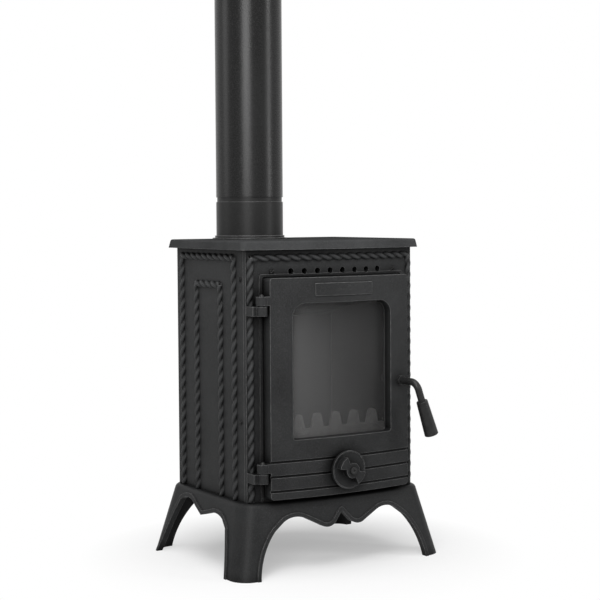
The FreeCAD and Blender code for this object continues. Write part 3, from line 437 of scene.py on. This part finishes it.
class Tree(Graph):
    def __init__(self, name, inputs):
        super().__init__(bpy.data.node_groups.new(name, "GeometryNodeTree"))
        face = self.tree.interface
        face.new_socket("Geometry", in_out="INPUT", socket_type="NodeSocketGeometry")
        face.new_socket("Geometry", in_out="OUTPUT", socket_type="NodeSocketGeometry")
        for label, kind in inputs.items():
            face.new_socket(label, in_out="INPUT", socket_type="NodeSocket" + kind)
        self.given = self.node("NodeGroupInput")

    def vector(self, x=0.0, y=0.0, z=0.0):
        return self.node("ShaderNodeCombineXYZ", None, {"X": x, "Y": y, "Z": z})

    def moved(self, geometry, **changes):
        return self.node("GeometryNodeTransform", None, {"Geometry": geometry, **changes})

    def close(self, geometry, smooth):
        whole = self.node("GeometryNodeRealizeInstances", None, {"Geometry": geometry})
        shaded = self.node("GeometryNodeSetShadeSmooth", None, {"Geometry": whole, "Shade Smooth": smooth})
        inputs = {"Geometry": shaded, "Material": self.given["Finish"]}
        self.node("NodeGroupOutput", None, {"Geometry": self.node("GeometryNodeSetMaterial", None, inputs)})
        return self.tree


def runTree(name, source, tree, values):
    # evaluates the tree on the source mesh and keeps the result as a plain mesh
    holder = link(bpy.data.objects.new(name + "Source", source))
    modifier = holder.modifiers.new("tree", "NODES")
    modifier.node_group = tree
    for item in tree.interface.items_tree:
        if item.in_out == "INPUT" and item.name in values:
            modifier[item.identifier] = values[item.name]
    seen = holder.evaluated_get(bpy.context.evaluated_depsgraph_get())
    mesh = bpy.data.meshes.new_from_object(seen)
    bpy.data.objects.remove(holder)
    mesh.name = name
    print(name, len(mesh.polygons), "faces")
    return link(bpy.data.objects.new(name, mesh))


def pathMesh(name, paths):
    mesh = bpy.data.meshes.new(name)
    points = []
    edges = []
    for path in paths:
        first = len(points)
        points += path
        edges += [(first + i, first + i + 1) for i in range(len(path) - 1)]
    mesh.from_pydata(points, edges, [])
    return mesh


# Rope mouldings on the castings

ropeSet = {
    "radius": 0.0068,           # over the strands
    "strands": 2,
    "lay": 0.040,               # length of one full turn
    "spread": 0.32,             # how far a strand's middle lies out, as a share of the radius
    "step": 0.0012,
    "sides": 36,
    "corner": 0.0,
    "sink": 0.0010,             # the rope's middle lies this far under the casting's face
    "frontInset": 0.008,
    "frontRise": 0.002,
    "frontSpans": 24,
    "topDrop": 0.0135,
    "sideFront": 0.085,
    "sideBack": 0.102,
    "innerFront": 0.0376,
    "innerBack": 0.0484,
    "innerDrop": 0.0615,
    "bottomRise": 0.001,
}
twistSet = {
    "cornerSteps": 6,
    "notch": 0.60,              # share of the radius that counts as the bottom of a notch
}
twistInputs = {
    "Radius": "Float", "Strands": "Float", "Lay": "Float", "Spread": "Float", "Step": "Float", "Sides": "Int",
    "Corner": "Float", "Finish": "Material",
}


def ropeTree():
    t = Tree("twistedRope", twistInputs)
    line = t.node("GeometryNodeMeshToCurve", None, {"Mesh": t.given["Geometry"]})
    inputs = {"Curve": line, "Count": twistSet["cornerSteps"], "Radius": t.given["Corner"]}
    line = t.node("GeometryNodeFilletCurve", {"mode": "POLY"}, inputs)
    line = t.node("GeometryNodeResampleCurve", {"mode": "LENGTH"}, {"Curve": line, "Length": t.given["Step"]})
    length = t.node("GeometryNodeSplineParameter", None, None, "Length")
    tilt = length / t.given["Lay"] * math.tau
    line = t.node("GeometryNodeSetCurveTilt", None, {"Curve": line, "Tilt": tilt})

    # a lobed ring, with one lobe for each strand
    inputs = {"Resolution": t.given["Sides"], "Radius": t.given["Radius"]}
    ring = t.node("GeometryNodeCurvePrimitiveCircle", None, inputs)
    place = t.node("GeometryNodeInputPosition")
    flat = t.node("ShaderNodeSeparateXYZ", None, {"Vector": place})
    angle = flat["Y"].apply("ARCTAN2", flat["X"])
    sector = math.pi / t.given["Strands"]
    local = t.node("ShaderNodeMath", {"operation": "WRAP"}, {0: angle, 1: sector, 2: sector * -1.0})
    out = t.given["Spread"] * local.apply("COSINE")
    off = t.given["Spread"] * local.apply("SINE")
    strand = 1.0 - t.given["Spread"]
    shrink = out + (strand * strand - off * off).apply("MAXIMUM", 0.0).apply("SQRT")
    lobed = t.node("ShaderNodeVectorMath", {"operation": "SCALE"}, {0: place, "Scale": shrink})
    ring = t.node("GeometryNodeSetPosition", None, {"Geometry": ring, "Position": lobed})
    inputs = {"Geometry": ring, "Name": "crest", "Value": shrink.between(twistSet["notch"], 1.0)}
    ring = t.node("GeometryNodeStoreNamedAttribute", {"data_type": "FLOAT", "domain": "POINT"}, inputs)
    body = t.node("GeometryNodeCurveToMesh", None, {"Curve": line, "Profile Curve": ring, "Fill Caps": True})
    return t.close(body, True)


twistedRope = ropeTree()


def addRope(name, paths, chosen, finish):
    values = {label: chosen[label.lower()] for label in twistInputs if label != "Finish"}
    values.update({"Strands": float(chosen["strands"]), "Finish": finish})
    return runTree(name, pathMesh(name, paths), twistedRope, values)


def sideRopePaths(side):
    x = side * (stove["halfWidth"] - ropeSet["sink"])
    low = stove["baseTop"] + ropeSet["bottomRise"]
    high = stove["plateUnder"] - ropeSet["topDrop"]
    innerHigh = stove["plateUnder"] - ropeSet["innerDrop"]
    front, back = bodyShift - ropeSet["sideFront"], bodyShift + ropeSet["sideBack"]
    innerFront, innerBack = bodyShift - ropeSet["innerFront"], bodyShift + ropeSet["innerBack"]
    uprights = ((front, high), (back, high), (innerFront, innerHigh), (innerBack, innerHigh))
    paths = [[(x, y, low), (x, y, top)] for y, top in uprights]
    paths += [[(x, front, high), (x, back, high)], [(x, innerFront, innerHigh), (x, innerBack, innerHigh)]]
    return paths


def frontRopePaths():
    edge = stove["halfWidth"] - ropeSet["frontInset"]
    low = stove["baseTop"] + ropeSet["frontRise"]
    high = stove["plateUnder"] - ropeSet["topDrop"]
    y = bowedAt(edge, -ropeSet["sink"])
    paths = [[(x, y, low), (x, y, high)] for x in (-edge, edge)]
    spans = ropeSet["frontSpans"]
    across = [-edge + 2 * edge * i / spans for i in range(spans + 1)]
    paths.append([(x, bowedAt(x, -ropeSet["sink"]), high) for x in across])
    return paths


def addRopes():
    ropeIron = castIronFinish("castIronRope", True)
    ropes = {"leftRopes": sideRopePaths(-1), "rightRopes": sideRopePaths(1), "frontRopes": frontRopePaths()}
    for name, paths in ropes.items():
        piece = addRope(name, paths, ropeSet, ropeIron)
        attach(piece, "stove")


addRopes()


# Braided seal round the back of the door

sealSet = {
    "radius": 0.0036, "strands": 6, "lay": 0.026, "spread": 0.26, "step": 0.0012, "sides": 36, "corner": 0.010,
    "inset": 0.002, "front": 0.0038, "spans": 10,
}


def sealPath():
    low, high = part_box("door_rope_seal")
    half = high[0] - sealSet["inset"]
    bottom, top = low[2] + sealSet["inset"], high[2] - sealSet["inset"]
    share = [i / sealSet["spans"] for i in range(sealSet["spans"] + 1)]
    outline = [(half * k, bottom) for k in share] + [(half * (1 - 2 * k), top) for k in share]
    outline += [(half * (k - 1), bottom) for k in share]
    return [(x, bowedAt(x, sealSet["front"]), z) for x, z in outline]


def addSeal():
    piece = addRope("doorSealRope", [sealPath()], sealSet, finishes["seal_rope"])
    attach(piece, "door")
    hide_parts("door_rope_seal")


addSeal()


# Slotted screws in the castings

screwSet = {
    "headRadius": 0.0048, "headHeight": 0.0024, "shankRadius": 0.0025, "shankLength": 0.008,
    "slotWidth": 0.0010, "slotDepth": 0.0011, "slotTurn": 0.6,
    "slotReach": 3.0,           # length of the bar that cuts the slot, in head radii
    "headSegments": 28, "headRings": 14, "shankSides": 20,
    "sideBack": 0.105, "sideDrop": 0.050, "sideRise": 0.136, "frontHalf": 0.124, "frontDrop": 0.0368,
}
screwInputs = {
    "Head Radius": "headRadius", "Head Height": "headHeight", "Shank Radius": "shankRadius",
    "Shank Length": "shankLength", "Slot Width": "slotWidth", "Slot Depth": "slotDepth", "Slot Turn": "slotTurn",
}


def screwTree():
    t = Tree("slottedScrew", {**dict.fromkeys(screwInputs, "Float"), "Facing": "Rotation", "Finish": "Material"})
    radius, height, length = (t.given[label] for label in ("Head Radius", "Head Height", "Shank Length"))
    inputs = {"Segments": screwSet["headSegments"], "Rings": screwSet["headRings"], "Radius": radius}
    ball = t.node("GeometryNodeMeshUVSphere", None, inputs, "Mesh")
    dome = t.moved(ball, Scale=t.vector(1.0, 1.0, height / radius))

    # the bar's middle lies on the crown, so it is twice as deep as the slot
    size = t.vector(radius * screwSet["slotReach"], t.given["Slot Width"], t.given["Slot Depth"] * 2.0)
    bar = t.node("GeometryNodeMeshCube", None, {"Size": size}, "Mesh")
    turn = t.node("FunctionNodeEulerToRotation", None, {0: t.vector(z=t.given["Slot Turn"])})
    bar = t.moved(bar, Translation=t.vector(z=height), Rotation=turn)
    head = t.node("GeometryNodeMeshBoolean", {"operation": "DIFFERENCE"}, {"Mesh 1": dome, "Mesh 2": bar}, "Mesh")
    inputs = {"Vertices": screwSet["shankSides"], "Radius": t.given["Shank Radius"], "Depth": length}
    shank = t.node("GeometryNodeMeshCylinder", None, inputs, "Mesh")
    shank = t.moved(shank, Translation=t.vector(z=length * -0.5))
    both = t.node("GeometryNodeJoinGeometry", None, {"Geometry": [head, shank]})
    spots = t.node("GeometryNodeMeshToPoints", None, {"Mesh": t.given["Geometry"]})
    inputs = {"Points": spots, "Instance": both, "Rotation": t.given["Facing"]}
    return t.close(t.node("GeometryNodeInstanceOnPoints", None, inputs), False)


slottedScrew = screwTree()


def addScrews():
    black = cloudyFinish("screwBlackOxide", screwBlackSet)
    half, frontHalf = stove["halfWidth"], screwSet["frontHalf"]
    y = bodyShift - screwSet["sideBack"]
    heights = (stove["plateUnder"] - screwSet["sideDrop"], stove["baseTop"] + screwSet["sideRise"])
    front = bowedAt(frontHalf, 0)
    frontHeight = stove["plateUnder"] - screwSet["frontDrop"]
    groups = (
        ("leftScrews", "side_screws", (-1, 0, 0), [(-half, y, z) for z in heights]),
        ("rightScrews", "side_screws", (1, 0, 0), [(half, y, z) for z in heights]),
        ("frontScrews", "frame_screws", (0, -1, 0), [(x, front, frontHeight) for x in (-frontHalf, frontHalf)]),
    )
    for name, node, facing, points in groups:
        values = {label: screwSet[key] for label, key in screwInputs.items()}
        values.update({"Facing": Vector(facing).to_track_quat("Z", "Y").to_euler(), "Finish": black})
        piece = runTree(name, pathMesh(name, [[point] for point in points]), slottedScrew, values)
        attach(piece, "stove")
        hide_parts(node)


addScrews()


# Floor, backdrop light and lamps

stageSet = {
    "floorSize": 14.0, "floorTone": 0.64, "ambient": 0.06,
    "fadeStart": 0.16, "fadeEnd": 0.40, "fadeLeast": 0.40,      # the floor turns white away from the stove
}
lampSet = [
    {"name": "overheadSoftbox", "azimuth": -30, "reach": 0.9, "height": 3.0, "aim": 0.5,
     "size": (2.2, 2.2), "power": 72},
    {"name": "highKey", "azimuth": -36, "reach": 2.2, "height": 2.7, "aim": 0.5,
     "size": (1.2, 1.2), "power": 48},
    {"name": "keyStrip", "azimuth": -40, "reach": 3.0, "height": 1.25, "aim": 0.9,
     "size": (1.3, 1.1), "power": 60},
    {"name": "rightStrip", "azimuth": 42, "reach": 2.6, "height": 1.1, "aim": 0.9,
     "size": (0.40, 1.4), "power": 22},
    {"name": "leftRim", "azimuth": -116, "reach": 2.6, "height": 1.3, "aim": 0.9,
     "size": (0.9, 1.3), "power": 11},
]


def seenRays(graph):
    # the camera, mirrors and glass see white, and the other rays see the plain light
    rays = graph.node("ShaderNodeLightPath")
    direct = rays["Is Camera Ray"].apply("MAXIMUM", rays["Is Transmission Ray"])
    return direct.apply("MAXIMUM", rays["Is Glossy Ray"])


def addFloor():
    mesh = bpy.data.meshes.new("studioFloor")
    half = stageSet["floorSize"] / 2
    corners = [(-half, -half, 0), (half, -half, 0), (half, half, 0), (-half, half, 0)]
    mesh.from_pydata(corners, [], [(0, 1, 2, 3)])
    floor = link(bpy.data.objects.new("studioFloor", mesh))
    f = Finish("studioFloorPale")
    reach = f.node("ShaderNodeVectorMath", {"operation": "LENGTH"}, {0: f.place()}, "Value")
    away = reach.between(stageSet["fadeStart"], stageSet["fadeEnd"])
    fade = stageSet["fadeLeast"] + away * (1 - stageSet["fadeLeast"])
    pale = f.node("ShaderNodeBsdfDiffuse", None, {"Color": grey(stageSet["floorTone"])})
    white = f.node("ShaderNodeEmission", None, {"Color": grey(1.0), "Strength": 1.0})
    mesh.materials.append(f.close(f.node("ShaderNodeMixShader", None, {0: fade * seenRays(f), 1: pale, 2: white})))


def addWorld():
    world = bpy.data.worlds.new("studioWorld")
    bpy.context.scene.world = world
    world.use_nodes = True
    g = Graph(world.node_tree)
    ambient = g.node("ShaderNodeBackground", None, {"Color": grey(1.0), "Strength": stageSet["ambient"]})
    white = g.node("ShaderNodeBackground", None, {"Color": grey(1.0), "Strength": 1.0})
    shown = g.node("ShaderNodeMixShader", None, {0: seenRays(g), 1: ambient, 2: white})
    g.node("ShaderNodeOutputWorld", None, {"Surface": shown})


def addLamps():
    for lamp in lampSet:
        data = bpy.data.lights.new(lamp["name"], "AREA")
        data.shape = "RECTANGLE"
        data.size, data.size_y = lamp["size"]
        data.energy = lamp["power"]
        made = link(bpy.data.objects.new(lamp["name"], data))
        turn = math.radians(lamp["azimuth"])
        place = Vector((math.sin(turn) * lamp["reach"], -math.cos(turn) * lamp["reach"], lamp["height"]))
        made.location = place
        made.rotation_euler = (Vector((0, 0, lamp["aim"])) - place).to_track_quat("-Z", "Y").to_euler()


addFloor()
addWorld()
addLamps()
print("stage set")
